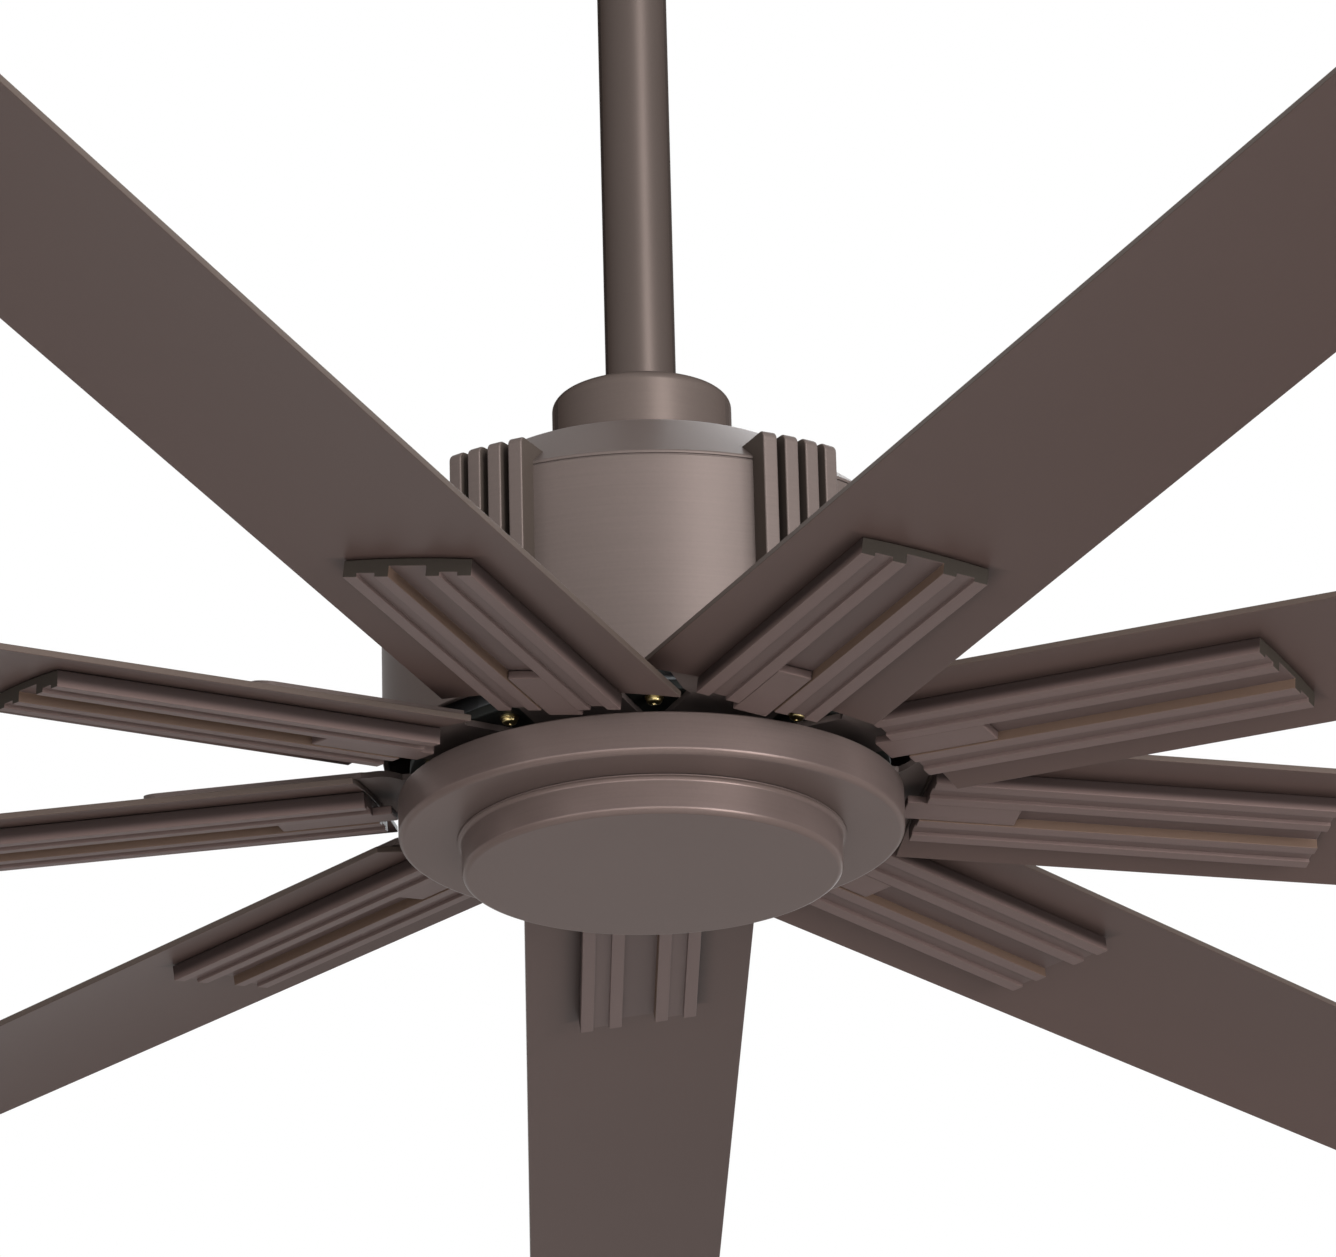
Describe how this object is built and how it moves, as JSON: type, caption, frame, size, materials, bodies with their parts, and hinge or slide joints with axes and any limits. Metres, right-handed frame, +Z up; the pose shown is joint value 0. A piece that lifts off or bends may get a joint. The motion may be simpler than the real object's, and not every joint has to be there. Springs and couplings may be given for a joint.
{
  "type": "ceiling fan",
  "caption": "Ceiling fan with wide pitched blades on a downrod: finned drum motor housing, blade irons, ridged rail brackets under the roots and a stepped round bottom cap.",
  "frame": {"origin": "middle of the ceiling bracket's top face, where it rests on the ceiling", "axes": "+Z up along the fan's axis, -Y towards the front, where the picture was taken from, +X to the right seen from there"},
  "size_m": [1.813, 1.7944, 0.7046],
  "materials": {
    "bronze_blade": "satin dark bronze paint on aluminium",
    "bronze_cast": "satin dark bronze paint on die cast and spun aluminium",
    "bronze_steel": "satin dark bronze paint on steel",
    "zinc_steel": "zinc plated",
    "cast_aluminium": "raw casting",
    "seat_nylon": "moulded black nylon",
    "copper_winding": "laminated core with enamelled copper coils",
    "magnet": "black ferrite",
    "bearing_steel": "ground steel",
    "receiver_plastic": "moulded black plastic"
  },
  "bodies": {
    "mount": {"ceiling_bracket": "zinc_steel", "canopy": "bronze_steel", "canopy_screw_front": "bronze_steel", "canopy_screw_rear": "bronze_steel"},
    "seat": {"ball_seat": "seat_nylon"},
    "stem": {"hanger_ball": "zinc_steel", "ball_pin": "bearing_steel", "downrod": "bronze_steel", "yoke": "cast_aluminium", "clevis_pin": "bearing_steel", "housing": "bronze_cast", "receiver": "receiver_plastic", "motor_shaft": "bearing_steel", "stator": "copper_winding", "upper_bearing": "bearing_steel", "lower_bearing": "bearing_steel", "shaft_spacer": "bearing_steel", "bottom_cap": "bronze_cast", "shaft_nut": "zinc_steel", "bottom_cover": "bronze_cast"},
    "rotor": {"rotor_case": "cast_aluminium", "magnet_ring": "magnet", "flywheel": "cast_aluminium", "blade_1": "bronze_blade", "blade_2": "bronze_blade", "blade_3": "bronze_blade", "blade_4": "bronze_blade", "blade_5": "bronze_blade", "blade_6": "bronze_blade", "blade_7": "bronze_blade", "blade_8": "bronze_blade", "blade_9": "bronze_blade", "iron_1": "bronze_blade", "iron_2": "bronze_blade", "iron_3": "bronze_blade", "iron_4": "bronze_blade", "iron_5": "bronze_blade", "iron_6": "bronze_blade", "iron_7": "bronze_blade", "iron_8": "bronze_blade", "iron_9": "bronze_blade", "rail_1": "bronze_blade", "rail_2": "bronze_blade", "rail_3": "bronze_blade", "rail_4": "bronze_blade", "rail_5": "bronze_blade", "rail_6": "bronze_blade", "rail_7": "bronze_blade", "rail_8": "bronze_blade", "rail_9": "bronze_blade", "clamp_1": "bronze_blade", "clamp_2": "bronze_blade", "clamp_3": "bronze_blade", "clamp_4": "bronze_blade", "clamp_5": "bronze_blade", "clamp_6": "bronze_blade", "clamp_7": "bronze_blade", "clamp_8": "bronze_blade", "clamp_9": "bronze_blade"},
    "cover": {"coupling_cover": "bronze_steel"}
  },
  "joints": [
    {"name": "tilt_side", "type": "hinge", "parent": "mount", "child": "seat", "pos_m": [0, 0, -0.058], "axis": [1, 0, 0], "range_deg": [-15, 15]},
    {"name": "tilt_front", "type": "hinge", "parent": "seat", "child": "stem", "pos_m": [0, 0, -0.058], "axis": [0, 1, 0], "range_deg": [-15, 15]},
    {"name": "rotor_spin", "type": "hinge", "parent": "stem", "child": "rotor", "pos_m": [0, 0, -0.6628], "axis": [0, 0, 1], "continuous": true},
    {"name": "cover_lift", "type": "slide", "parent": "stem", "child": "cover", "axis": [0, 0, 1], "range_m": [0, 0.3]}
  ]
}
